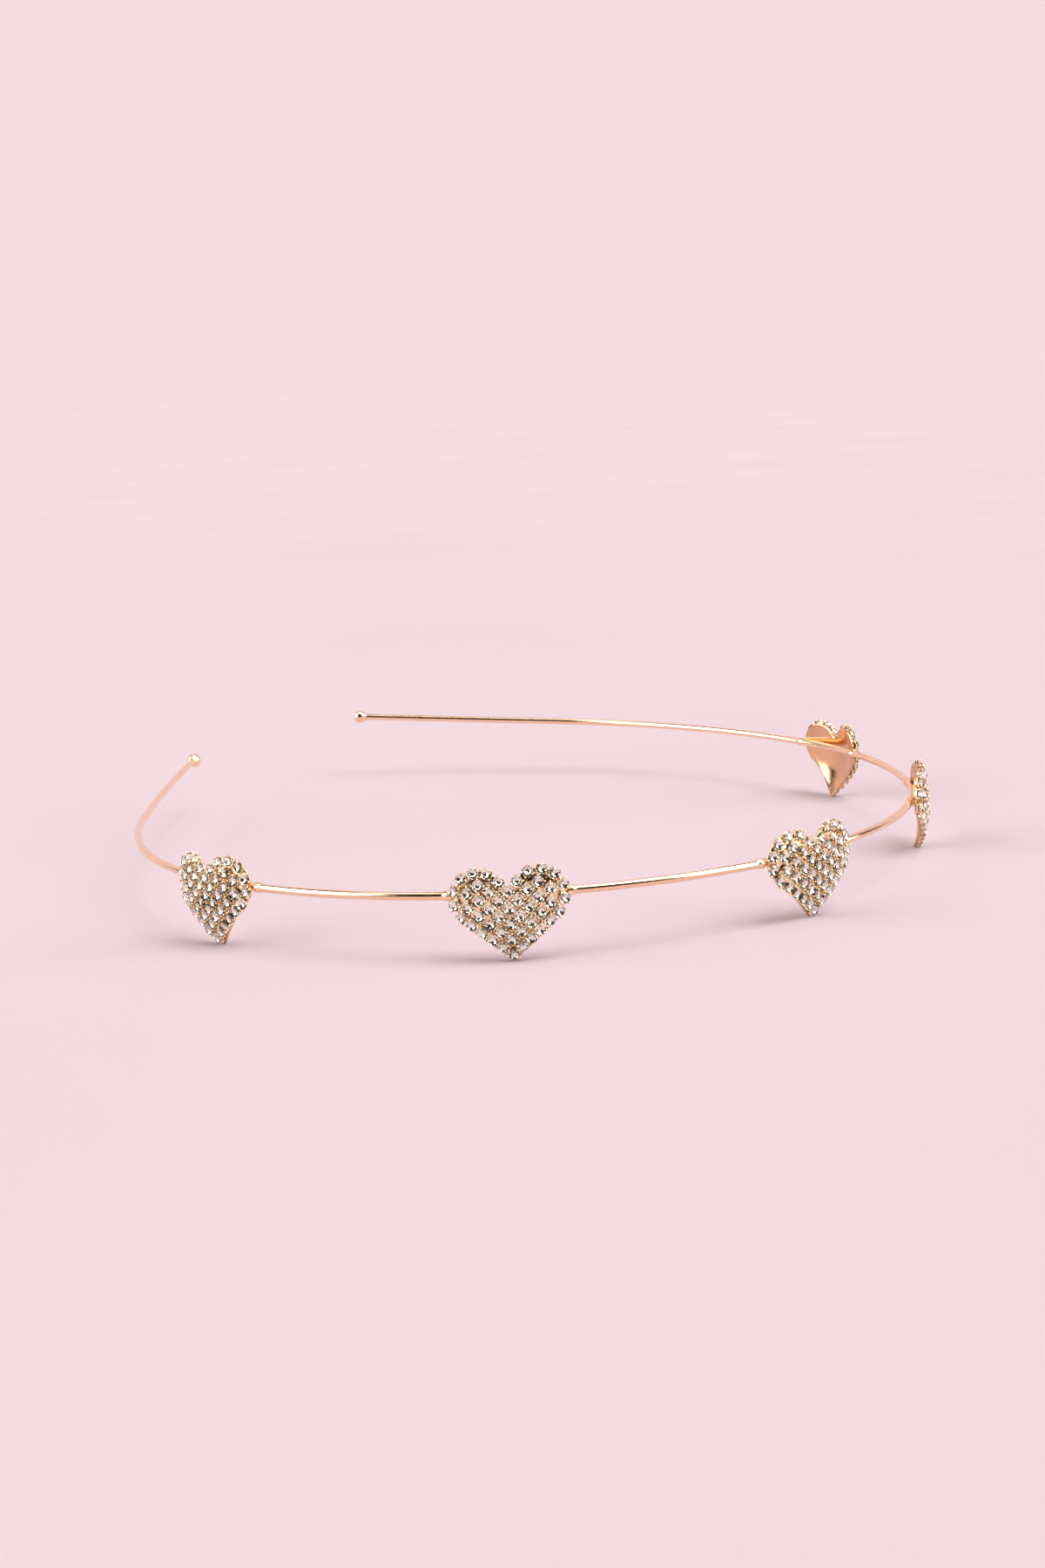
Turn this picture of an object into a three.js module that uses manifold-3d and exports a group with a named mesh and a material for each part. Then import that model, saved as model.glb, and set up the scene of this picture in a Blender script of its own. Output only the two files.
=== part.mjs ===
// Rhinestone heart headband: one sprung wire with a ball on each end and five domed hearts soldered along
// its front. Each heart is a dished plate that carries a field of round cut stones in scalloped settings.
// Millimetres, +Z up. The headband lies as it would on a table, standing on the tips of its hearts, with its
// crown towards -Y and its two ends towards +Y.
import * as THREE from "three";
import { mergeVertices } from "three/addons/utils/BufferGeometryUtils.js";
import Module from "manifold-3d";

const wasm = await Module();
wasm.setup();

// Wire and ball tips
const wireDiameter = 1.2;
const wireSides = 8;
const wireSteps = 48;
const ballDiameter = 2.5;
const ballSides = 10;
const boreGap = 0.25;

// The two sides of the wire, from the crown out: arcs that run on from each other, and how far the free end
// stands above the hearts' part. The wire is bent by hand, so the sides differ a little.
const bandSides = {
  left: { sign: -1, rise: 0.9, arcs: [
    { radius: 63.8, length: 126.7 },
    { radius: 94, length: 23.7 },
    { radius: 578, length: 52.9 },
  ] },
  right: { sign: 1, rise: 2.8, arcs: [
    { radius: 65, length: 51.8 },
    { radius: 81.1, length: 109.2 },
    { radius: 388, length: 42.3 },
  ] },
};

// Hearts along the wire, and how far each one is off its even place, because they are soldered on by hand
const heartCount = 5;
const heartSpacing = 47;
const heartSlips = [-0.6, 0.3, -0.4, 0, 0];

// Heart outline, drawn through the centres of its border stones from the stone at the tip
const stonePitch = 1.77;
const innerClearance = 0.85 * stonePitch;
const flankSlope = THREE.MathUtils.degToRad(40);
const flankStones = 5;
const lobeRadius = 3.7;
const lobeOffset = 4.1;
const lobeStones = 6;
const lobeEndAngle = THREE.MathUtils.degToRad(141);
const lobeSegments = 5;

// How far a heart reaches past the centres of its border stones: the plate below the tip and round the
// lobes, and the scalloped setting all round
const tipDrop = 1.06;
const tipRound = 0.6;
const lobeRim = 0.55;
const settingRim = 0.8;
const scallopDepth = 0.25;

// Dome, plate, setting and stones, measured outwards from the dome's centre. The dome's front stands off from
// the wire's axis so far that the wire lies in the back of the plate at both of its sides.
const domeRadius = 21;
const domeStandoff = 2.65;
const domeSides = 6;
const domeRings = [5.5, 10.4];
const domeHeightShare = 0.85;
const plateThickness = 0.5;
const plateGap = 0.3;
const settingThickness = 0.4;
const girdleRadius = 0.75;
const tableRadius = 0.42;
const crownHeight = 0.32;
const girdleDepth = 0.1;
const culetRadius = 0.39;
const pavilionDepth = 0.2;
const stoneFacets = 8;

// Solder beads round the wire where it crosses the sides of a heart
const beadRadius = 0.8;
const beadEndRadius = 0.54;
const beadLength = 2.4;
const beadSpan = 8.2;

// Sizes worked out from the ones above
const wireRadius = wireDiameter / 2;
const lobeHeight = (lobeRadius + lobeOffset * Math.sin(flankSlope)) / Math.cos(flankSlope);
const domeHeight = lobeHeight * domeHeightShare;
const domeReach = domeRings.at(-1);
const wireHeight = tipDrop + lobeHeight;
const bandHalfLength = bandSides.left.arcs.reduce((total, arc) => total + arc.length, 0);
const armStart = heartSpacing * (heartCount - 1) / 2;

// Corners nearer than this are one corner, and faces nearer than this to one plane stay one face
const cornerTolerance = 1e-4;
const joinTolerance = 1e-3;

const gold = new THREE.MeshStandardMaterial({ color: 0xd9a27a, roughness: 0.2, metalness: 1 });
const crystal = new THREE.MeshStandardMaterial({ color: 0xe8e6e4, roughness: 0.05, metalness: 0.6 });

// A closed surface as a solid that can be joined and cut
function toSolid(geometry) {
  const bare = geometry.clone();
  bare.deleteAttribute("normal");
  bare.deleteAttribute("uv");
  const merged = mergeVertices(bare, cornerTolerance);
  const solid = new wasm.Manifold(new wasm.Mesh({
    numProp: 3,
    vertProperties: merged.attributes.position.array,
    triVerts: merged.index.array,
  }));
  return solid.setTolerance(joinTolerance);
}

function toGeometry(solid) {
  const mesh = solid.getMesh();
  const geometry = new THREE.BufferGeometry();
  geometry.setAttribute("position", new THREE.BufferAttribute(mesh.vertProperties, 3));
  geometry.setIndex(new THREE.BufferAttribute(mesh.triVerts, 1));
  geometry.computeVertexNormals();
  return geometry;
}

// The wire's axis and heading at a length along it, negative towards the left end
function bandPlace(length) {
  const side = length < 0 ? bandSides.left : bandSides.right;
  let left = Math.abs(length);
  let heading = 0;
  let x = 0;
  let y = 0;
  for (const arc of side.arcs) {
    const turned = heading + Math.min(left, arc.length) / arc.radius;
    x += arc.radius * (Math.sin(turned) - Math.sin(heading));
    y += arc.radius * (Math.cos(heading) - Math.cos(turned));
    heading = turned;
    left = Math.max(0, left - arc.length);
  }
  const along = Math.max(0, Math.abs(length) - armStart) / (bandHalfLength - armStart);
  const point = new THREE.Vector3(side.sign * x, y, wireHeight + side.rise * along ** 2);
  return { point, heading: side.sign * heading };
}

class BandCurve extends THREE.Curve {
  getPoint(t, target = new THREE.Vector3()) {
    return target.copy(bandPlace((2 * t - 1) * bandHalfLength).point);
  }
}

function bandWire() {
  const ring = [];
  for (let i = 0; i < wireSides; i++) {
    const angle = (i + 0.5) / wireSides * 2 * Math.PI;
    ring.push(new THREE.Vector2(wireRadius * Math.cos(angle), wireRadius * Math.sin(angle)));
  }
  return new THREE.ExtrudeGeometry(new THREE.Shape(ring), { steps: wireSteps, extrudePath: new BandCurve() });
}

// A ball on one end of the wire, with the blind hole that the end goes into
function ballTip(end) {
  const curve = new BandCurve();
  const centre = curve.getPoint(end);
  const inward = curve.getTangent(end).multiplyScalar(end > 0.5 ? -1 : 1);
  const ball = toSolid(new THREE.SphereGeometry(ballDiameter / 2, ballSides, ballSides / 2));
  const bore = new THREE.CylinderGeometry(wireRadius + boreGap, wireRadius + boreGap, ballDiameter, wireSides);
  bore.translate(0, ballDiameter / 2 - boreGap, 0);
  const geometry = toGeometry(ball.subtract(toSolid(bore)));
  geometry.applyQuaternion(new THREE.Quaternion().setFromUnitVectors(new THREE.Vector3(0, 1, 0), inward));
  const mesh = new THREE.Mesh(geometry, gold);
  mesh.position.copy(centre);
  return mesh;
}

// Centres of the border stones, round the heart from its tip: up one flank, over the lobe, into the notch
// and back down the other side
function borderStones() {
  const half = [];
  for (let i = 1; i <= flankStones; i++) {
    half.push(new THREE.Vector2(Math.cos(flankSlope), Math.sin(flankSlope)).multiplyScalar(i * stonePitch));
  }
  const centre = new THREE.Vector2(lobeOffset, lobeHeight);
  const firstAngle = half.at(-1).clone().sub(centre).angle() - 2 * Math.PI;
  for (let i = 1; i <= lobeStones; i++) {
    const angle = THREE.MathUtils.lerp(firstAngle, lobeEndAngle, i / lobeStones);
    half.push(new THREE.Vector2(Math.cos(angle), Math.sin(angle)).multiplyScalar(lobeRadius).add(centre));
  }
  const last = half.at(-1);
  const notch = new THREE.Vector2(0, last.y - Math.sqrt(stonePitch ** 2 - last.x ** 2));
  const mirrored = half.map((stone) => new THREE.Vector2(-stone.x, stone.y)).reverse();
  return [new THREE.Vector2(0, 0), ...half, notch, ...mirrored];
}

// Centres of the stones inside the border, in rows that run along both flanks
function innerStones(border) {
  const lobeCentre = new THREE.Vector2(lobeOffset, lobeHeight);
  const rows = flankStones + lobeStones;
  const stones = [];
  for (let i = 1; i < rows; i++) {
    for (let j = 1; j < rows; j++) {
      const x = (i - j) * stonePitch * Math.cos(flankSlope);
      const y = (i + j) * stonePitch * Math.sin(flankSlope);
      const stone = new THREE.Vector2(x, y);
      const inLobe = new THREE.Vector2(Math.abs(x), y).distanceTo(lobeCentre) < lobeRadius;
      const clear = border.every((other) => other.distanceTo(stone) > innerClearance);
      if (clear && (inLobe || y < lobeHeight)) {
        stones.push(stone);
      }
    }
  }
  return stones;
}

// The plate's outline: a small flat for the heart to stand on, and straight flanks that run on into the lobes
function plateOutline() {
  const radius = lobeRadius + lobeRim;
  const rise = lobeHeight + tipDrop - tipRound;
  const slope = Math.atan2(rise, lobeOffset) - Math.asin((radius - tipRound) / Math.hypot(lobeOffset, rise));
  const startAngle = slope - Math.PI / 2;
  const notchAngle = Math.PI - Math.acos(lobeOffset / radius);
  const flankX = lobeOffset + radius * Math.cos(startAngle);
  const flankY = lobeHeight + radius * Math.sin(startAngle);
  const footHalf = flankX - (flankY + tipDrop) / Math.tan(slope);
  const outline = new THREE.Shape();
  outline.moveTo(footHalf, -tipDrop);
  outline.lineTo(flankX, flankY);
  outline.absarc(lobeOffset, lobeHeight, radius, startAngle, notchAngle, false);
  outline.absarc(-lobeOffset, lobeHeight, radius, Math.PI - notchAngle, Math.PI - startAngle, false);
  outline.lineTo(-footHalf, -tipDrop);
  return outline;
}

// The setting's outline: a scallop round each border stone
function settingOutline(border) {
  const points = [];
  border.forEach((stone, i) => {
    const before = border.at(i - 1);
    const after = border[(i + 1) % border.length];
    const outward = after.clone().sub(before).normalize();
    outward.set(outward.y, -outward.x);
    const middle = stone.clone().lerp(after, 0.5);
    const gapOutward = after.clone().sub(stone).normalize();
    gapOutward.set(gapOutward.y, -gapOutward.x);
    points.push(stone.clone().addScaledVector(outward, settingRim));
    points.push(middle.addScaledVector(gapOutward, settingRim - scallopDepth));
  });
  return new THREE.Shape(points);
}

// Half the section of a dome at one radius: a flat middle, then chords of its arc out to its reach
function domeProfile(radius) {
  const chords = domeRings.map((across) => new THREE.Vector2(across, Math.sqrt(radius ** 2 - across ** 2)));
  return [new THREE.Vector2(0, chords[0].y), ...chords];
}

// A dished disc between two radii from the dome's centre, facing +Z, over the middle of the heart, with two
// of its corners towards the wire
function domeShell(innerRadius, outerRadius) {
  const profile = [...domeProfile(innerRadius), ...domeProfile(outerRadius).reverse()];
  const shell = new THREE.LatheGeometry(profile, domeSides, Math.PI / domeSides);
  shell.rotateX(Math.PI / 2);
  shell.translate(0, domeHeight, -domeRadius);
  return shell;
}

// A dished plate of a given outline, cut from a domed shell
function domedPlate(outline, innerRadius, outerRadius) {
  const depth = domeReach;
  const prism = new THREE.ExtrudeGeometry(outline, { depth, bevelEnabled: false, curveSegments: lobeSegments });
  prism.translate(0, 0, -depth / 2);
  return toSolid(domeShell(innerRadius, outerRadius)).intersect(toSolid(prism));
}

// One cut stone standing square to the dome: a flat table, a ring of crown facets and a pavilion in its cup
function stoneOnDome(stone, dome) {
  const profile = [
    new THREE.Vector2(0, -girdleDepth - pavilionDepth),
    new THREE.Vector2(culetRadius, -girdleDepth - pavilionDepth),
    new THREE.Vector2(girdleRadius, -girdleDepth),
    new THREE.Vector2(tableRadius, crownHeight),
    new THREE.Vector2(0, crownHeight),
  ];
  const above = new THREE.Vector3(stone.x, stone.y, domeReach);
  const seat = new THREE.Raycaster(above, new THREE.Vector3(0, 0, -1)).intersectObject(dome)[0];
  const cut = new THREE.LatheGeometry(profile, stoneFacets);
  cut.applyQuaternion(new THREE.Quaternion().setFromUnitVectors(new THREE.Vector3(0, 1, 0), seat.face.normal));
  cut.translate(seat.point.x, seat.point.y, seat.point.z);
  return toSolid(cut);
}

// The field of stones of one heart, fused to its setting
function stoneField() {
  const border = borderStones();
  const inner = domeRadius + plateGap;
  const outer = inner + settingThickness;
  const dome = new THREE.Mesh(domeShell(inner, outer));
  const setting = domedPlate(settingOutline(border), inner, outer);
  const stones = [...border, ...innerStones(border)];
  return stones.reduce((field, stone) => field.add(stoneOnDome(stone, dome)), setting);
}

// From a heart's own axes, with its face towards +Z and its tip stone at the origin, to upright on the wire
function heartToWire(geometry) {
  geometry.translate(0, -lobeHeight, domeStandoff);
  geometry.rotateX(Math.PI / 2);
  return geometry;
}

// Where a heart stands along the wire
function heartAlong(index) {
  return (index - (heartCount - 1) / 2) * heartSpacing + heartSlips[index];
}

function standOnWire(object, index) {
  const place = bandPlace(heartAlong(index));
  object.position.copy(place.point);
  object.rotation.z = place.heading;
  object.updateMatrix();
  return object;
}

// A bead of solder, thick in its middle and running out along the wire
function solderBead(along) {
  const profile = [
    new THREE.Vector2(0, -beadLength / 2),
    new THREE.Vector2(beadEndRadius, -beadLength / 2),
    new THREE.Vector2(beadRadius, 0),
    new THREE.Vector2(beadEndRadius, beadLength / 2),
    new THREE.Vector2(0, beadLength / 2),
  ];
  const place = bandPlace(along);
  const bead = new THREE.LatheGeometry(profile, wireSides, Math.PI / wireSides);
  bead.rotateZ(Math.PI / 2);
  bead.rotateZ(place.heading);
  bead.translate(place.point.x, place.point.y, place.point.z);
  return toSolid(bead);
}

// The soldered metal: the wire, the five plates and a solder bead at each side of each plate
function band() {
  const plate = domedPlate(plateOutline(), domeRadius - plateThickness, domeRadius);
  const plateGeometry = heartToWire(toGeometry(plate));
  let metal = toSolid(bandWire());
  for (let i = 0; i < heartCount; i++) {
    const placed = standOnWire(new THREE.Object3D(), i);
    metal = metal.add(toSolid(plateGeometry.clone().applyMatrix4(placed.matrix)));
    for (const side of [-1, 1]) {
      metal = metal.add(solderBead(heartAlong(i) + side * beadSpan));
    }
  }
  return new THREE.Mesh(toGeometry(metal), gold);
}

function named(mesh, name) {
  mesh.name = name;
  return mesh;
}

const headband = new THREE.Group();
headband.add(named(band(), "band"));
headband.add(named(ballTip(0), "ball_tip_left"));
headband.add(named(ballTip(1), "ball_tip_right"));
const fieldGeometry = heartToWire(toGeometry(stoneField()));
for (let i = 0; i < heartCount; i++) {
  const field = standOnWire(new THREE.Mesh(fieldGeometry, crystal), i);
  headband.add(named(field, `heart_stones_${i + 1}`));
}

// The origin is under the middle of the headband, on the surface it stands on
const middle = new THREE.Box3().setFromObject(headband, true).getCenter(new THREE.Vector3());
headband.position.set(-middle.x, -middle.y, 0);
const part = new THREE.Group();
part.add(headband);

export default part;
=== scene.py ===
# Rhinestone heart headband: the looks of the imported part, in its own frame.
# One sprung wire of polished rose gold carries five domed hearts. Each heart is a dished plate with a field
# of round cut stones, and every stone sits in a cup of its own, with four claws bent over its edge.
# Sizes are in millimetres until a mesh is made, and the scene is in metres.
import math

import bpy
import numpy as np
from mathutils import Matrix, Vector


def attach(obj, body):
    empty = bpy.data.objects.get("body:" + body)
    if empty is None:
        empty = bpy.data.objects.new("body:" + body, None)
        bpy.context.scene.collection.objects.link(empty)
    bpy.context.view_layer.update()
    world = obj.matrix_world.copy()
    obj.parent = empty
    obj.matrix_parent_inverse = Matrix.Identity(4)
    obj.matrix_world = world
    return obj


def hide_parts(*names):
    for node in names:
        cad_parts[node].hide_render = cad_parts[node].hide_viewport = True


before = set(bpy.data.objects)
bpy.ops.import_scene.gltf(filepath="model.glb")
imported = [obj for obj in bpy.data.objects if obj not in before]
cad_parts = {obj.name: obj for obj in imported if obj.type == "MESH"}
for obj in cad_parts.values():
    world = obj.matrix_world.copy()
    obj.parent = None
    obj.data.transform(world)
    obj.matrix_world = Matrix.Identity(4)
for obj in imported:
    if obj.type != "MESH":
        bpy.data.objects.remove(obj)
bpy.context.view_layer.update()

MM = 0.001
RANDOM_SEED = 7
random = np.random.default_rng(RANDOM_SEED)

# Wire: its two sides, from the crown out, as arcs (radius, length) that run on from each other, and how far
# the free end stands above the hearts' part. The crown's place is in the part's frame.
WIRE_RADIUS = 0.6
WIRE_SIDES = 20
WIRE_STEP = 0.8
BAND_SIDES = {
    "left": {"sign": -1, "rise": 0.9, "arcs": [(63.8, 126.7), (94, 23.7), (578, 52.9)]},
    "right": {"sign": 1, "rise": 2.8, "arcs": [(65, 51.8), (81.1, 109.2), (388, 42.3)]},
}
CROWN = np.array([-2.109, -76.277, 0])

# Ball tips: each has a short neck with a thin wall round the wire's end, which widens towards the ball.
# The far pole stays open by a small angle, and one flat face closes it.
BALL_RADIUS = 1.3
BALL_SIDES = 36
BALL_POLE_ANGLE = 0.02
NECK_LENGTH = 0.35
NECK_WALL = 0.12
NECK_TAPER = 0.03
NECK_BEND = 0.06

# Hearts along the wire, and a heart's outline through the centres of its border stones
HEART_COUNT = 5
HEART_SPACING = 47
# Each heart is soldered on by hand: how far it is off its even place along the wire, and its roll in degrees
HEART_SLIPS = [(-0.6, 2.4), (0.3, 1.4), (-0.4, 1.3), (0, 0.8), (0, -0.6)]
STONE_PITCH = 1.77
FLANK_SLOPE = math.radians(40)
FLANK_STONES = 5
LOBE_RADIUS = 3.7
LOBE_OFFSET = 4.1
LOBE_STONES = 6
LOBE_END_ANGLE = math.radians(141)
INNER_CLEARANCE = 0.85 * STONE_PITCH

# The inner stones are pushed apart, in small steps, while they are nearer to a stone than a reach. The least
# distance stands in for a stone's distance to itself.
SPREAD_REACH = 1.25 * STONE_PITCH
SPREAD_STEPS = 40
SPREAD_RATE = 0.05
SPREAD_LEAST = 0.03

# Dome and plate: the dome's top as a share of the lobes' height, how far its front stands off the wire's
# axis, how far the plate reaches past the border stones, and how it is rounded. The rings of its two faces
# start at a small share of the way out from its middle.
DOME_RADIUS = 21
DOME_HEIGHT_SHARE = 0.85
DOME_STANDOFF = 2.15
PLATE_THICKNESS = 0.5
TIP_DROP = 1.06
TIP_ROUND = 0.6
LOBE_RIM = 0.15
NOTCH_ROUND = 0.9
PLATE_RINGS = 12
PLATE_MIDDLE_SHARE = 0.02
RIM_STEPS = 10
TIP_STEPS = 10
FLANK_STEPS = 14
LOBE_STEPS = 44
NOTCH_STEPS = 8

# Stones: a table, eight crown facets, a girdle and a foiled back of two tiers, steep outside and flat inside.
# The girdle's seat is above the plate, and the tilt is the slope that a stone leans by as a rule.
SEAT_HEIGHT = 0.52
STONE_SIDES = 8
GIRDLE_RADIUS = 0.85
GIRDLE_HALF = 0.03
TABLE_RADIUS = 0.52
CROWN_HEIGHT = 0.26
BACK_RADIUS = 0.34
BACK_DEPTH = 0.18
CULET_DEPTH = 0.23
STONE_TILT = 0.14

# Cups, as (reach, height) from the girdle's middle: from under the stone, over the lip and down to the plate.
# The squareness is the power in the formula of a square with rounded corners.
CUP_SIDES = 32
CUP_SQUARENESS = 4
CUP_PROFILE = [
    (0.55, -0.35), (0.68, -0.24), (0.72, -0.22), (0.75, -0.25), (0.75, -0.35), (0.72, -0.45), (0.72, -0.55),
]

# Claws at the corners of a cup, as (radius, height) from the cup over the edge of the stone
CLAW_COUNT = 4
CLAW_SIDES = 8
CLAW_PATH = [(0.92, -0.45), (1, -0.1), (1.02, 0.06), (0.98, 0.17), (0.9, 0.22), (0.8, 0.2)]
CLAW_HALF_WIDTHS = [0.14, 0.14, 0.13, 0.13, 0.11, 0.08]
CLAW_HALF_DEPTH = 0.07

# Solder where the wire crosses the sides of a heart: beads that swell from just inside the wire, each to
# a share of the full height that lies between two values
BEAD_RADIUS = 0.8
BEAD_LENGTH = 2.2
BEAD_SPAN = 8.5
BEAD_STEPS = 18
BEAD_END_SHARE = 0.98
BEAD_HEIGHT_SHARES = (0.85, 1.1)

# Sizes worked out from the ones above
LOBE_HEIGHT = (LOBE_RADIUS + LOBE_OFFSET * math.sin(FLANK_SLOPE)) / math.cos(FLANK_SLOPE)
DOME_HEIGHT = LOBE_HEIGHT * DOME_HEIGHT_SHARE
DOME_CENTRE = np.array([0, DOME_HEIGHT, -DOME_RADIUS])
WIRE_HEIGHT = TIP_DROP + LOBE_HEIGHT
BAND_HALF_LENGTH = sum(length for _, length in BAND_SIDES["left"]["arcs"])
ARM_START = HEART_SPACING * (HEART_COUNT - 1) / 2

# Noise patterns of the finishes, as (scale, detail), with features of about a metre divided by the scale, and
# the values that most of a noise lies between
NOISE_SPAN = (0.3, 0.7)
GOLD_CLOUDS = (250, 3)
GOLD_POLISH = (900, 4)
GOLD_DENTS = (1500, 2)
CRYSTAL_CLOUDS = (300, 1)
CRYSTAL_HAZE = (1200, 3)
FOIL_CLOUDS = (700, 2)
FOIL_POLISH = (2000, 3)
FLOOR_CLOUDS = (6, 4)
FLOOR_GRAIN = (900, 3)

# Finishes: pairs of tones or roughnesses that a noise varies between, single values that hold all over a
# surface, and the depths of fine relief in metres
ROSE_GOLD_TONES = ((0.93, 0.65, 0.42), (0.98, 0.71, 0.48))
BACK_GOLD_TONES = ((0.71, 0.43, 0.25), (0.81, 0.49, 0.29))
CUP_GOLD_TONES = ((0.84, 0.64, 0.4), (0.92, 0.72, 0.48))
FRONT_GOLD_TONES = ((0.86, 0.64, 0.4), (0.94, 0.73, 0.49))
GOLD_ROUGHNESS = (0.08, 0.2)
GOLD_DENT_DEPTH = 0.0001
CRYSTAL_TINTS = ((1, 0.99, 0.97), (0.97, 0.98, 1))
CRYSTAL_SPAN = (0.35, 0.65)
CRYSTAL_ROUGHNESS = (0, 0.03)
CRYSTAL_IOR = 1.58
FOIL_TONES = ((0.93, 0.91, 0.8), (0.98, 0.97, 0.88))
FOIL_ROUGHNESS = (0.02, 0.07)
FLOOR_TONES = ((0.413, 0.332, 0.361), (0.431, 0.347, 0.377))
FLOOR_ROUGHNESS = 0.9
FLOOR_SPECULAR = 0.2
FLOOR_GRAIN_STRENGTH = 0.1
FLOOR_GRAIN_DEPTH = 0.0003

# How uneven the metal is under each gold, from smooth wire to soldered plate
WIRE_UNEVENNESS = 0.02
BACK_UNEVENNESS = 0.05
CUP_UNEVENNESS = 0.15
FRONT_UNEVENNESS = 0.7

# Room: dark, with bright panels that a noise makes on its ceiling. A side of it is given by a direction
# and two cosines of the angle from that direction, between which its tone comes in.
ROOM_STRENGTH = 4
ROOM_DARK = (0.009, 0.005, 0.003)
ROOM_BRIGHT = (1, 0.99, 0.97)
PANEL_PATTERN = (3.2, 1)
PANEL_SPAN = (0.5, 0.53)
BELOW_CEILING = ((0, 0, -1), -0.94, -0.86)
WINDOWS = [((-0.83, 0.49, 0.4), 0.82, 0.85), ((0.61, -0.79, 0.39), 0.84, 0.87)]
WALL = ((0.59, 0.72, 0), 0.45, 0.6)
WALL_TONE = (0.228, 0.179, 0.19)

# Key light, with its width in degrees
KEY_DIRECTION = (0.19, -0.4, 0.87)
KEY_WIDTH = 40
KEY_STRENGTH = 2.4
KEY_COLOUR = (1, 0.98, 0.95)

# Camera and floor. The floor's radius and the camera's nearest sight are in metres.
CAMERA_PLACE = (-227.55, -286.19, 79.28)
CAMERA_FORWARD = Vector((0.62477, 0.75871, -0.18445))
CAMERA_RIGHT = Vector((0.76349, -0.6431, -0.05921))
CAMERA_LENS = 49.44
CAMERA_NEAREST = 0.01
FLOOR_RADIUS = 60
FLOOR_SIDES = 64

# The colour sockets of a mix node, which shares its socket names between kinds of value
MIX_FIRST = 6
MIX_SECOND = 7
MIX_RESULT = 2


def band_place(length):
    """The wire's axis at a length from the crown, negative to the left, and its heading there."""
    side = BAND_SIDES["left" if length < 0 else "right"]
    left = abs(length)
    heading = x = y = 0.0
    for radius, arc_length in side["arcs"]:
        turned = heading + min(left, arc_length) / radius
        x += radius * (math.sin(turned) - math.sin(heading))
        y += radius * (math.cos(heading) - math.cos(turned))
        heading = turned
        left = max(0.0, left - arc_length)
    along = max(0.0, abs(length) - ARM_START) / (BAND_HALF_LENGTH - ARM_START)
    point = CROWN + np.array([side["sign"] * x, y, WIRE_HEIGHT + side["rise"] * along**2])
    return point, side["sign"] * heading


def heart_along(index):
    """How far from the crown a heart's even place is along the wire."""
    return (index - (HEART_COUNT - 1) / 2) * HEART_SPACING


def heart_to_frame(points, index):
    """Points of a heart (across, up from its tip stone, out from its dome) in the shared frame."""
    slip, roll = HEART_SLIPS[index]
    place, heading = band_place(heart_along(index) + slip)
    level = np.array([math.cos(heading), math.sin(heading), 0])
    outward = np.array([math.sin(heading), -math.cos(heading), 0])
    plumb = np.array([0, 0, 1])
    cos_roll = math.cos(math.radians(roll))
    sin_roll = math.sin(math.radians(roll))
    axes = np.array([cos_roll * level + sin_roll * plumb, cos_roll * plumb - sin_roll * level, outward])
    return place + (points - np.array([0, LOBE_HEIGHT, -DOME_STANDOFF])) @ axes


def on_dome(flat, height):
    """Points over a heart's flat outline, at a height above the front of its dome."""
    flat = np.atleast_2d(flat)
    out = (DOME_RADIUS + height) ** 2 - flat[:, 0] ** 2 - (flat[:, 1] - DOME_HEIGHT) ** 2
    return np.column_stack([flat, np.sqrt(out) - DOME_RADIUS])


def tube_faces(rings, sides, first=0):
    """Quads between rings of points, each ring closed on itself."""
    faces = []
    for ring in range(rings - 1):
        for side in range(sides):
            here = first + ring * sides + side
            beside = first + ring * sides + (side + 1) % sides
            faces.append((here, beside, beside + sides, here + sides))
    return faces


def add_piece(name, points, faces, materials, node, smooth=True, face_materials=None):
    """A mesh of the object, made from points in millimetres, that stands for a node of the part."""
    mesh = bpy.data.meshes.new(name)
    mesh.from_pydata((np.asarray(points) * MM).tolist(), [], faces)
    for material in materials:
        mesh.materials.append(material)
    if face_materials is not None:
        mesh.polygons.foreach_set("material_index", face_materials)
    mesh.polygons.foreach_set("use_smooth", [smooth] * len(faces))
    mesh.update()
    piece = bpy.data.objects.new(name, mesh)
    bpy.context.scene.collection.objects.link(piece)
    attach(piece, "root")
    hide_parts(node)


# The band: wire, ball tips and solder


def wire_rings(lengths, radii):
    """Rings round the wire at some lengths along it."""
    turn = np.linspace(0, 2 * math.pi, WIRE_SIDES, endpoint=False)
    up = np.array([0, 0, 1])
    rings = []
    for length, radius in zip(lengths, radii):
        place, heading = band_place(length)
        outward = np.array([math.sin(heading), -math.cos(heading), 0])
        rings.append(place + radius * (np.outer(np.cos(turn), up) + np.outer(np.sin(turn), outward)))
    return np.vstack(rings)


def add_wire(gold):
    """The whole wire from end to end, closed at both ends."""
    steps = round(2 * BAND_HALF_LENGTH / WIRE_STEP)
    lengths = np.linspace(-BAND_HALF_LENGTH, BAND_HALF_LENGTH, steps)
    points = wire_rings(lengths, np.full(steps, WIRE_RADIUS))
    faces = tube_faces(steps, WIRE_SIDES)
    faces.append(tuple(reversed(range(WIRE_SIDES))))
    faces.append(tuple(range((steps - 1) * WIRE_SIDES, steps * WIRE_SIDES)))
    add_piece("wire", points, faces, [gold], "band")


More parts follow.
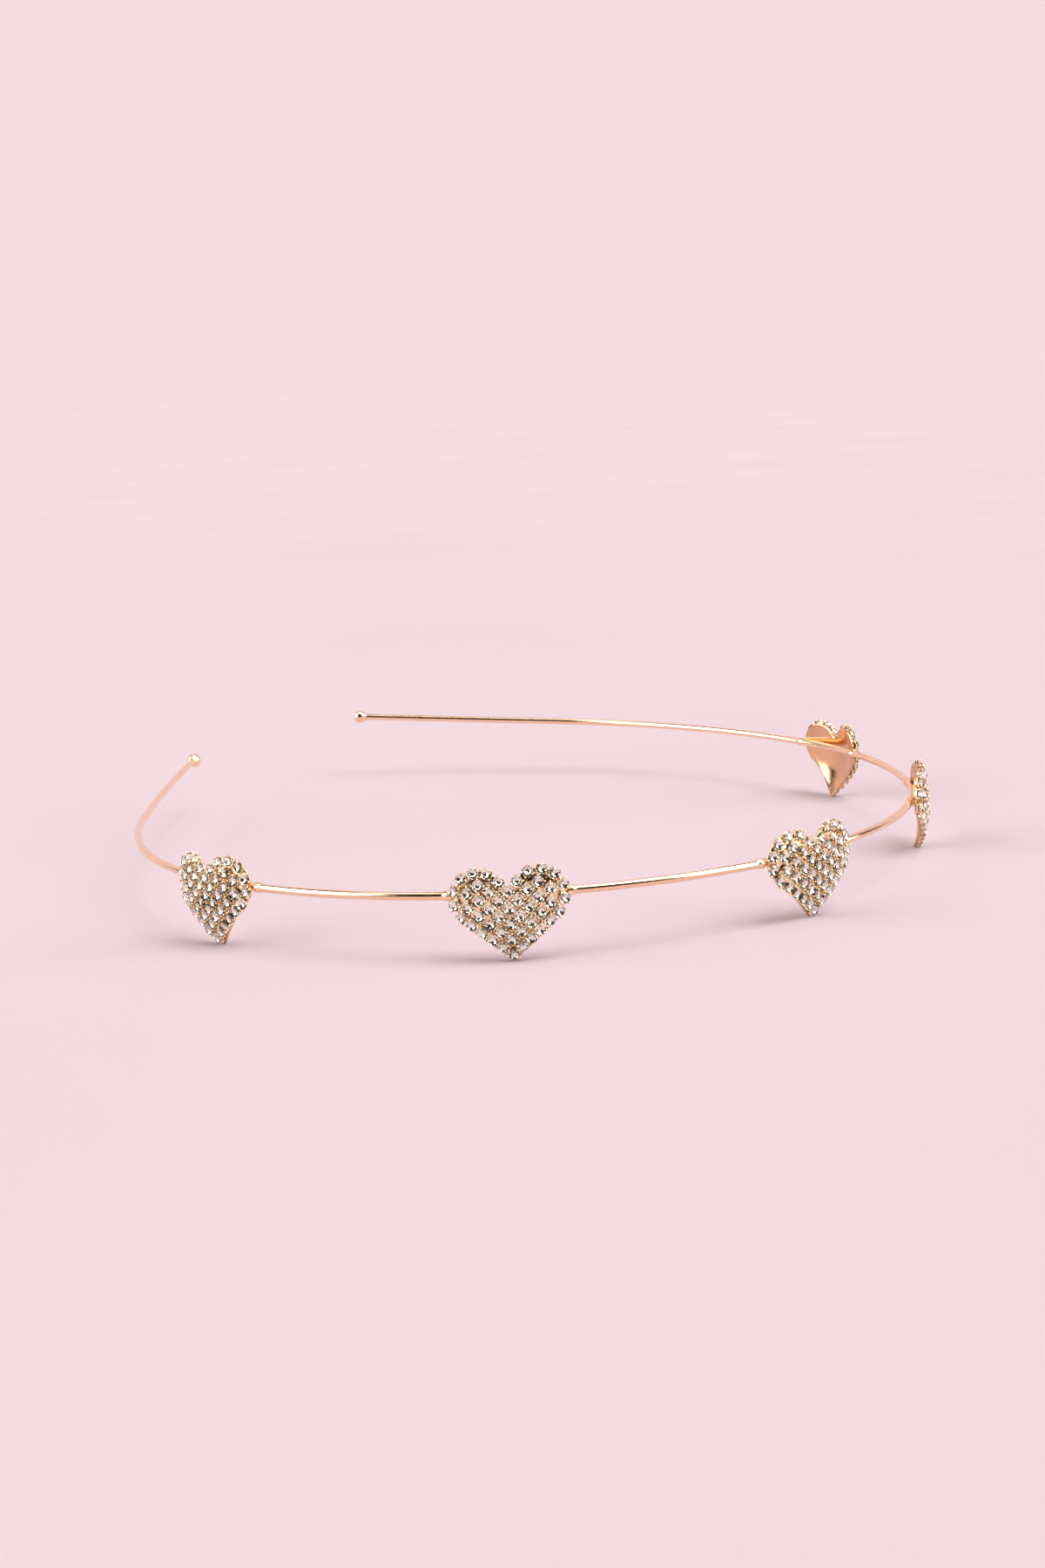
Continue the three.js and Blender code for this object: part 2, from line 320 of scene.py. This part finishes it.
def add_solder(gold):
    """A bead of solder round the wire at both sides of each heart."""
    points = []
    faces = []
    share = np.linspace(-1, 1, BEAD_STEPS)
    swell = (1 + np.cos(math.pi * share)) / 2
    for index in range(HEART_COUNT):
        for side in (-1, 1):
            middle = heart_along(index) + HEART_SLIPS[index][0] + side * BEAD_SPAN
            height = (BEAD_RADIUS - WIRE_RADIUS) * random.uniform(*BEAD_HEIGHT_SHARES)
            radii = WIRE_RADIUS * BEAD_END_SHARE + height * swell
            faces += tube_faces(BEAD_STEPS, WIRE_SIDES, len(points) * BEAD_STEPS * WIRE_SIDES)
            points.append(wire_rings(middle + share * BEAD_LENGTH / 2, radii))
    add_piece("solder_beads", np.vstack(points), faces, [gold], "band")


def add_ball_tip(name, end, gold):
    """A polished ball turned with a short neck that the wire's end goes into."""
    place, _ = band_place(end)
    before, _ = band_place(end - math.copysign(1, end))
    axis = place - before
    axis /= np.linalg.norm(axis)
    side = np.cross(axis, [0, 0, 1])
    side /= np.linalg.norm(side)
    up = np.cross(side, axis)
    neck = WIRE_RADIUS + NECK_WALL
    start = -math.sqrt(BALL_RADIUS**2 - neck**2)
    first_latitude = math.asin(start / BALL_RADIUS)
    last_latitude = math.pi / 2 - BALL_POLE_ANGLE
    profile = [
        (start - NECK_LENGTH, WIRE_RADIUS),
        (start - NECK_LENGTH, neck - NECK_TAPER),
        (start - NECK_BEND, neck),
    ]
    for angle in np.linspace(first_latitude, last_latitude, BALL_SIDES // 2):
        profile.append((BALL_RADIUS * math.sin(angle), BALL_RADIUS * math.cos(angle)))
    turn = np.linspace(0, 2 * math.pi, BALL_SIDES, endpoint=False)
    rings = [
        place + axis * along + radius * (np.outer(np.cos(turn), side) + np.outer(np.sin(turn), up))
        for along, radius in profile
    ]
    faces = tube_faces(len(profile), BALL_SIDES)
    faces.append(tuple(range((len(profile) - 1) * BALL_SIDES, len(profile) * BALL_SIDES)))
    add_piece(name, np.vstack(rings), faces, [gold], name)


# The hearts


def arc(centre, radius, start, end, steps):
    """Points along an arc from one angle to another."""
    turn = np.linspace(start, end, steps)
    return np.asarray(centre) + radius * np.column_stack([np.cos(turn), np.sin(turn)])


def outline(inset):
    """The plate's outline moved in by an inset, anticlockwise: tip, flank, lobe, notch and back again."""
    lobe = np.array([LOBE_OFFSET, LOBE_HEIGHT])
    lobe_radius = LOBE_RADIUS + LOBE_RIM
    tip = np.array([0, TIP_ROUND - TIP_DROP])
    across, rise = lobe - tip
    slope = math.atan2(rise, across) - math.asin((lobe_radius - TIP_ROUND) / math.hypot(across, rise))
    square = slope - math.pi / 2
    corner_radius = lobe_radius + NOTCH_ROUND
    notch_turn = math.pi - math.acos(LOBE_OFFSET / corner_radius)
    notch = (0, LOBE_HEIGHT + corner_radius * math.sin(notch_turn))
    tip_points = arc(tip, TIP_ROUND - inset, -math.pi / 2, square, TIP_STEPS)
    lobe_points = arc(lobe, lobe_radius - inset, square, notch_turn, LOBE_STEPS)
    notch_points = arc(notch, NOTCH_ROUND + inset, notch_turn - math.pi, -math.pi / 2, NOTCH_STEPS)
    share = np.linspace(0, 1, FLANK_STEPS)[1:-1, None]
    flank_points = tip_points[-1] + share * (lobe_points[0] - tip_points[-1])
    half = np.vstack([tip_points, flank_points, lobe_points, notch_points[1:]])
    mirrored = half[-2:0:-1] * np.array([-1, 1])
    return np.vstack([half, mirrored])


def add_plate(index, back_gold, front_gold):
    """A dished plate with a rounded rim, from the middle of its smooth back to that of its soldered front."""
    middle = np.array([0, DOME_HEIGHT])
    rim_radius = PLATE_THICKNESS / 2
    inner = outline(rim_radius)
    shares = np.linspace(PLATE_MIDDLE_SHARE, 1, PLATE_RINGS)
    rings = [on_dome(middle + share * (inner - middle), -PLATE_THICKNESS) for share in shares[:-1]]
    for angle in np.linspace(-math.pi / 2, math.pi / 2, RIM_STEPS):
        edge = outline(rim_radius * (1 - math.cos(angle)))
        rings.append(on_dome(edge, rim_radius * (math.sin(angle) - 1)))
    rings += [on_dome(middle + share * (inner - middle), 0) for share in shares[-2::-1]]
    sides = len(inner)
    faces = tube_faces(len(rings), sides)
    # The front's gold is the second material, and the last two faces close the back and the front
    front = (PLATE_RINGS - 1) * sides
    face_materials = [0] * (len(faces) - front) + [1] * front + [0, 1]
    faces.append(tuple(reversed(range(sides))))
    faces.append(tuple(range((len(rings) - 1) * sides, len(rings) * sides)))
    points = heart_to_frame(np.vstack(rings), index)
    materials = [back_gold, front_gold]
    name = f"heart_plate_{index + 1}"
    add_piece(name, points, faces, materials, "band", face_materials=face_materials)


def border_stones():
    """Centres of the border stones from the tip, up one flank, over the lobe, into the notch and back."""
    along = np.array([math.cos(FLANK_SLOPE), math.sin(FLANK_SLOPE)])
    half = [along * STONE_PITCH * step for step in range(1, FLANK_STONES + 1)]
    centre = np.array([LOBE_OFFSET, LOBE_HEIGHT])
    across, rise = half[-1] - centre
    first_angle = math.atan2(rise, across)
    for angle in np.linspace(first_angle, LOBE_END_ANGLE, LOBE_STONES + 1)[1:]:
        half.append(centre + LOBE_RADIUS * np.array([math.cos(angle), math.sin(angle)]))
    last = half[-1]
    notch = np.array([0, last[1] - math.sqrt(STONE_PITCH**2 - last[0] ** 2)])
    mirrored = [stone * np.array([-1, 1]) for stone in reversed(half)]
    return [np.zeros(2), *half, notch, *mirrored]


def inner_stones(border):
    """Centres of the stones inside the border, in rows that run along both flanks."""
    rows = range(1, FLANK_STONES + LOBE_STONES)
    stones = []
    for i in rows:
        for j in rows:
            stone = STONE_PITCH * np.array([(i - j) * math.cos(FLANK_SLOPE), (i + j) * math.sin(FLANK_SLOPE)])
            lobe_distance = math.hypot(abs(stone[0]) - LOBE_OFFSET, stone[1] - LOBE_HEIGHT)
            clear = all(np.linalg.norm(stone - other) > INNER_CLEARANCE for other in border)
            if clear and (lobe_distance < LOBE_RADIUS or stone[1] < LOBE_HEIGHT):
                stones.append(stone)
    return stones


def spread_out(stones, border):
    """Inner stones pushed apart, so that they fill the field up to its border without bare patches."""
    placed = np.array(stones)
    for _ in range(SPREAD_STEPS):
        apart = placed[:, None] - np.vstack([placed, border])
        distance = np.linalg.norm(apart, axis=2, keepdims=True)
        push = np.maximum(SPREAD_REACH - distance, 0)
        placed = placed + SPREAD_RATE * (push * apart / np.maximum(distance, SPREAD_LEAST)).sum(axis=1)
    return placed


def stone_seats():
    """Each stone's centre with the turn of its cup: border cups stand square to the edge of the heart."""
    border = border_stones()
    seats = []
    for i, stone in enumerate(border):
        along = border[(i + 1) % len(border)] - border[i - 1]
        seats.append((stone, math.atan2(along[1], along[0]) + math.pi / CLAW_COUNT))
    seats += [(stone, 0.0) for stone in spread_out(inner_stones(border), border)]
    return seats


def seat_axes(stone, turn):
    """The place of a stone's girdle over the dome, and its axes: two along the dome and one square to it."""
    place = on_dome(stone, SEAT_HEIGHT)[0]
    normal = place - DOME_CENTRE
    normal /= np.linalg.norm(normal)
    side = np.cross([0, 1, 0], normal)
    side /= np.linalg.norm(side)
    up = np.cross(normal, side)
    first = math.cos(turn) * side + math.sin(turn) * up
    return place, np.array([first, np.cross(normal, first), normal])


def tilted(axes):
    """A stone's axes, leaning a little at random, because it isn't seated quite square."""
    axes[2] += axes[:2].T @ random.normal(0, STONE_TILT, 2)
    axes[2] /= np.linalg.norm(axes[2])
    axes[1] = np.cross(axes[2], axes[0])
    axes[1] /= np.linalg.norm(axes[1])
    axes[0] = np.cross(axes[1], axes[2])
    return axes


def round_points(angles, radius, height):
    """Points round an upright axis, at one height."""
    return np.column_stack([radius * np.cos(angles), radius * np.sin(angles), np.full(len(angles), height)])


def cut_stone():
    """Points of one stone about its girdle, the faces of its front and those of its foiled back."""
    corners = np.arange(STONE_SIDES) * 2 * math.pi / STONE_SIDES
    between = corners + math.pi / STONE_SIDES
    front_rings = [
        round_points(corners, TABLE_RADIUS, CROWN_HEIGHT),
        round_points(corners, GIRDLE_RADIUS, GIRDLE_HALF),
        round_points(corners, GIRDLE_RADIUS, -GIRDLE_HALF),
    ]
    back_ring = round_points(between, BACK_RADIUS, -BACK_DEPTH)
    points = np.vstack([*front_rings, back_ring, [[0, 0, -CULET_DEPTH]]])
    culet = len(points) - 1
    inner = culet - STONE_SIDES
    bottom = inner - STONE_SIDES
    front_faces = [tuple(range(STONE_SIDES))]
    front_faces += [face[::-1] for face in tube_faces(len(front_rings), STONE_SIDES)]
    back_faces = []
    for k in range(STONE_SIDES):
        after = (k + 1) % STONE_SIDES
        back_faces.append((bottom + k, inner + k, bottom + after))
        back_faces.append((bottom + after, inner + k, inner + after))
        back_faces.append((inner + k, culet, inner + after))
    return points, front_faces, back_faces


def add_stones(index, seats, crystal, foil):
    """The stones of one heart, each turned and tilted its own way, clear in front and foiled behind."""
    shape, front_faces, back_faces = cut_stone()
    points = []
    faces = []
    face_materials = []
    for stone, _ in seats:
        place, axes = seat_axes(stone, random.uniform(0, 2 * math.pi))
        first = len(points) * len(shape)
        points.append(place + shape @ tilted(axes))
        faces += [tuple(first + corner for corner in face) for face in front_faces + back_faces]
        face_materials += [0] * len(front_faces) + [1] * len(back_faces)
    field = heart_to_frame(np.vstack(points), index)
    name = f"heart_crystals_{index + 1}"
    node = f"heart_stones_{index + 1}"
    materials = [crystal, foil]
    add_piece(name, field, faces, materials, node, smooth=False, face_materials=face_materials)


def cup_rings():
    """Rings of one square cup with rounded corners, from under its stone, over its lip to the plate."""
    turn = np.linspace(0, 2 * math.pi, CUP_SIDES, endpoint=False)
    along = np.abs(np.cos(turn + math.pi / 4)) ** CUP_SQUARENESS
    across = np.abs(np.sin(turn + math.pi / 4)) ** CUP_SQUARENESS
    squared = (along + across) ** (-1 / CUP_SQUARENESS)
    return np.vstack([round_points(turn, reach * squared, height) for reach, height in CUP_PROFILE])


def claw_rings(angle):
    """Rings of one claw that rises from the cup's corner and bends over the edge of the stone."""
    turn = np.linspace(0, 2 * math.pi, CLAW_SIDES, endpoint=False)
    outward = np.array([math.cos(angle), math.sin(angle), 0])
    across = np.array([-math.sin(angle), math.cos(angle), 0])
    path = [radius * outward + np.array([0, 0, height]) for radius, height in CLAW_PATH]
    rings = []
    for i, point in enumerate(path):
        along = path[min(i + 1, len(path) - 1)] - path[max(i - 1, 0)]
        depth = np.cross(across, along / np.linalg.norm(along))
        half_width = CLAW_HALF_WIDTHS[i]
        half_depth = CLAW_HALF_DEPTH * half_width / CLAW_HALF_WIDTHS[0]
        section = np.outer(half_width * np.cos(turn), across) + np.outer(half_depth * np.sin(turn), depth)
        rings.append(point + section)
    return np.vstack(rings)


def one_cup():
    """Points and faces of one cup with its claws, each closed at its end."""
    points = [cup_rings()]
    faces = tube_faces(len(CUP_PROFILE), CUP_SIDES)
    count = len(points[0])
    for claw in range(CLAW_COUNT):
        rings = claw_rings(2 * math.pi * claw / CLAW_COUNT)
        faces += tube_faces(len(CLAW_PATH), CLAW_SIDES, count)
        faces.append(tuple(range(count + len(rings) - CLAW_SIDES, count + len(rings))))
        points.append(rings)
        count += len(rings)
    return np.vstack(points), faces


def add_cups(index, seats, gold):
    """The cups of one heart, one under each stone."""
    shape, shape_faces = one_cup()
    points = []
    faces = []
    for stone, turn in seats:
        place, axes = seat_axes(stone, turn)
        first = len(points) * len(shape)
        points.append(place + shape @ axes)
        faces += [tuple(first + corner for corner in face) for face in shape_faces]
    cups = heart_to_frame(np.vstack(points), index)
    node = f"heart_stones_{index + 1}"
    add_piece(f"heart_cups_{index + 1}", cups, faces, [gold], node)


# Materials


def new_material(name):
    """A new material, with its shader, nodes and links."""
    material = bpy.data.materials.new(name)
    material.use_nodes = True
    nodes = material.node_tree.nodes
    return material, nodes["Principled BSDF"], nodes, material.node_tree.links


def noise(nodes, links, pattern, space="Object"):
    """Cloudy noise of a pattern (scale, detail), laid over the object or another space."""
    scale, detail = pattern
    coordinates = nodes.new("ShaderNodeTexCoord")
    texture = nodes.new("ShaderNodeTexNoise")
    texture.inputs["Scale"].default_value = scale
    texture.inputs["Detail"].default_value = detail
    links.new(coordinates.outputs[space], texture.inputs["Vector"])
    return texture.outputs["Fac"]


def tones(nodes, links, source, colours, span=NOISE_SPAN):
    """A colour that goes from one to another while a noise rises over a span."""
    ramp = nodes.new("ShaderNodeValToRGB")
    for stop, position, colour in zip(ramp.color_ramp.elements, span, colours):
        stop.position = position
        stop.color = (*colour, 1)
    links.new(source, ramp.inputs["Fac"])
    return ramp.outputs["Color"]


def spread(nodes, links, source, values):
    """A value that goes from one to another while a noise rises over its span."""
    mapped = nodes.new("ShaderNodeMapRange")
    mapped.inputs["From Min"].default_value = NOISE_SPAN[0]
    mapped.inputs["From Max"].default_value = NOISE_SPAN[1]
    mapped.inputs["To Min"].default_value = values[0]
    mapped.inputs["To Max"].default_value = values[1]
    links.new(source, mapped.inputs["Value"])
    return mapped.outputs["Result"]


def bump(nodes, links, source, strength, depth):
    """A fine relief that follows a noise."""
    relief = nodes.new("ShaderNodeBump")
    relief.inputs["Strength"].default_value = strength
    relief.inputs["Distance"].default_value = depth
    links.new(source, relief.inputs["Height"])
    return relief.outputs["Normal"]


def gold_plating(name, gold_tones, unevenness):
    """Polished gold plating between two tones, a little uneven in polish, over more or less smooth metal."""
    material, shader, nodes, links = new_material(name)
    shader.inputs["Metallic"].default_value = 1
    tone = tones(nodes, links, noise(nodes, links, GOLD_CLOUDS), gold_tones)
    polish = spread(nodes, links, noise(nodes, links, GOLD_POLISH), GOLD_ROUGHNESS)
    dents = bump(nodes, links, noise(nodes, links, GOLD_DENTS), unevenness, GOLD_DENT_DEPTH)
    links.new(tone, shader.inputs["Base Color"])
    links.new(polish, shader.inputs["Roughness"])
    links.new(dents, shader.inputs["Normal"])
    return material


def crystal_glass():
    """Clear lead crystal with the faintest haze."""
    material, shader, nodes, links = new_material("clear_crystal")
    shader.inputs["Transmission Weight"].default_value = 1
    shader.inputs["IOR"].default_value = CRYSTAL_IOR
    tint = tones(nodes, links, noise(nodes, links, CRYSTAL_CLOUDS), CRYSTAL_TINTS, CRYSTAL_SPAN)
    haze = spread(nodes, links, noise(nodes, links, CRYSTAL_HAZE), CRYSTAL_ROUGHNESS)
    links.new(tint, shader.inputs["Base Color"])
    links.new(haze, shader.inputs["Roughness"])
    return material


def mirror_foil():
    """The warm mirror foil on the back of each stone."""
    material, shader, nodes, links = new_material("stone_foil")
    shader.inputs["Metallic"].default_value = 1
    tone = tones(nodes, links, noise(nodes, links, FOIL_CLOUDS), FOIL_TONES)
    polish = spread(nodes, links, noise(nodes, links, FOIL_POLISH), FOIL_ROUGHNESS)
    links.new(tone, shader.inputs["Base Color"])
    links.new(polish, shader.inputs["Roughness"])
    return material


def pale_floor():
    """A plain pale, slightly pink surface with a fine grain."""
    material, shader, nodes, links = new_material("pale_floor")
    shader.inputs["Roughness"].default_value = FLOOR_ROUGHNESS
    shader.inputs["Specular IOR Level"].default_value = FLOOR_SPECULAR
    tone = tones(nodes, links, noise(nodes, links, FLOOR_CLOUDS), FLOOR_TONES)
    grain = bump(nodes, links, noise(nodes, links, FLOOR_GRAIN), FLOOR_GRAIN_STRENGTH, FLOOR_GRAIN_DEPTH)
    links.new(tone, shader.inputs["Base Color"])
    links.new(grain, shader.inputs["Normal"])
    return material


# The stage: floor, light and camera


def add_floor(material):
    """A round floor that runs out to the horizon."""
    turn = np.linspace(0, 2 * math.pi, FLOOR_SIDES, endpoint=False)
    mesh = bpy.data.meshes.new("floor")
    mesh.from_pydata(round_points(turn, FLOOR_RADIUS, 0).tolist(), [], [tuple(range(FLOOR_SIDES))])
    mesh.materials.append(material)
    floor = bpy.data.objects.new("floor", mesh)
    bpy.context.scene.collection.objects.link(floor)


def add_key_light():
    """One wide, soft light from far off, which lights the floor evenly out to the horizon."""
    light = bpy.data.lights.new("key", "SUN")
    light.angle = math.radians(KEY_WIDTH)
    light.energy = KEY_STRENGTH
    light.color = KEY_COLOUR
    source = bpy.data.objects.new("key", light)
    source.rotation_euler = Vector(KEY_DIRECTION).to_track_quat("Z", "Y").to_euler()
    bpy.context.scene.collection.objects.link(source)


def blend(nodes, links, share, first, second):
    """One colour that goes over into another as a share rises from 0 to 1."""
    mixer = nodes.new("ShaderNodeMix")
    mixer.data_type = "RGBA"
    links.new(share, mixer.inputs["Factor"])
    links.new(first, mixer.inputs[MIX_FIRST])
    mixer.inputs[MIX_SECOND].default_value = (*second, 1)
    return mixer.outputs[MIX_RESULT]


def nearness(nodes, links, direction, start, end):
    """How near a view into the room is to a direction: 0 up to one cosine of the angle, 1 from another."""
    coordinates = nodes.new("ShaderNodeTexCoord")
    towards = nodes.new("ShaderNodeVectorMath")
    towards.operation = "DOT_PRODUCT"
    towards.inputs[1].default_value = Vector(direction).normalized()
    links.new(coordinates.outputs["Generated"], towards.inputs[0])
    share = nodes.new("ShaderNodeMapRange")
    share.inputs["From Min"].default_value = start
    share.inputs["From Max"].default_value = end
    links.new(towards.outputs["Value"], share.inputs["Value"])
    return share.outputs["Result"]


def set_world():
    """A dark room with bright ceiling panels, two windows and a pale pink wall across from the camera."""
    world = bpy.data.worlds.new("studio")
    bpy.context.scene.world = world
    world.use_nodes = True
    nodes = world.node_tree.nodes
    links = world.node_tree.links
    panels = noise(nodes, links, PANEL_PATTERN, "Generated")
    room = tones(nodes, links, panels, (ROOM_DARK, ROOM_BRIGHT), PANEL_SPAN)
    room = blend(nodes, links, nearness(nodes, links, *BELOW_CEILING), room, ROOM_DARK)
    for window in WINDOWS:
        room = blend(nodes, links, nearness(nodes, links, *window), room, ROOM_BRIGHT)
    room = blend(nodes, links, nearness(nodes, links, *WALL), room, WALL_TONE)
    links.new(room, nodes["Background"].inputs["Color"])
    nodes["Background"].inputs["Strength"].default_value = ROOM_STRENGTH


def add_camera():
    """The camera, which takes in the whole headband from its front left, a little above the hearts."""
    camera = bpy.data.objects.new("camera", bpy.data.cameras.new("camera"))
    camera.data.lens = CAMERA_LENS
    camera.data.clip_start = CAMERA_NEAREST
    up = CAMERA_RIGHT.cross(CAMERA_FORWARD)
    turn = Matrix((CAMERA_RIGHT, up, -CAMERA_FORWARD)).transposed().to_4x4()
    camera.matrix_world = Matrix.Translation(Vector(CAMERA_PLACE) * MM) @ turn
    bpy.context.scene.collection.objects.link(camera)
    bpy.context.scene.camera = camera


gold = gold_plating("polished_rose_gold", ROSE_GOLD_TONES, WIRE_UNEVENNESS)
back_gold = gold_plating("backing_rose_gold", BACK_GOLD_TONES, BACK_UNEVENNESS)
cup_gold = gold_plating("stamped_champagne_gold", CUP_GOLD_TONES, CUP_UNEVENNESS)
front_gold = gold_plating("soldered_champagne_gold", FRONT_GOLD_TONES, FRONT_UNEVENNESS)
crystal = crystal_glass()
foil = mirror_foil()
seats = stone_seats()
add_wire(gold)
add_solder(gold)
add_ball_tip("ball_tip_left", -BAND_HALF_LENGTH, gold)
add_ball_tip("ball_tip_right", BAND_HALF_LENGTH, gold)
for heart in range(HEART_COUNT):
    add_plate(heart, back_gold, front_gold)
    add_cups(heart, seats, cup_gold)
    add_stones(heart, seats, crystal, foil)

add_floor(pale_floor())
add_key_light()
set_world()
add_camera()
bpy.context.scene.view_settings.view_transform = "Standard"
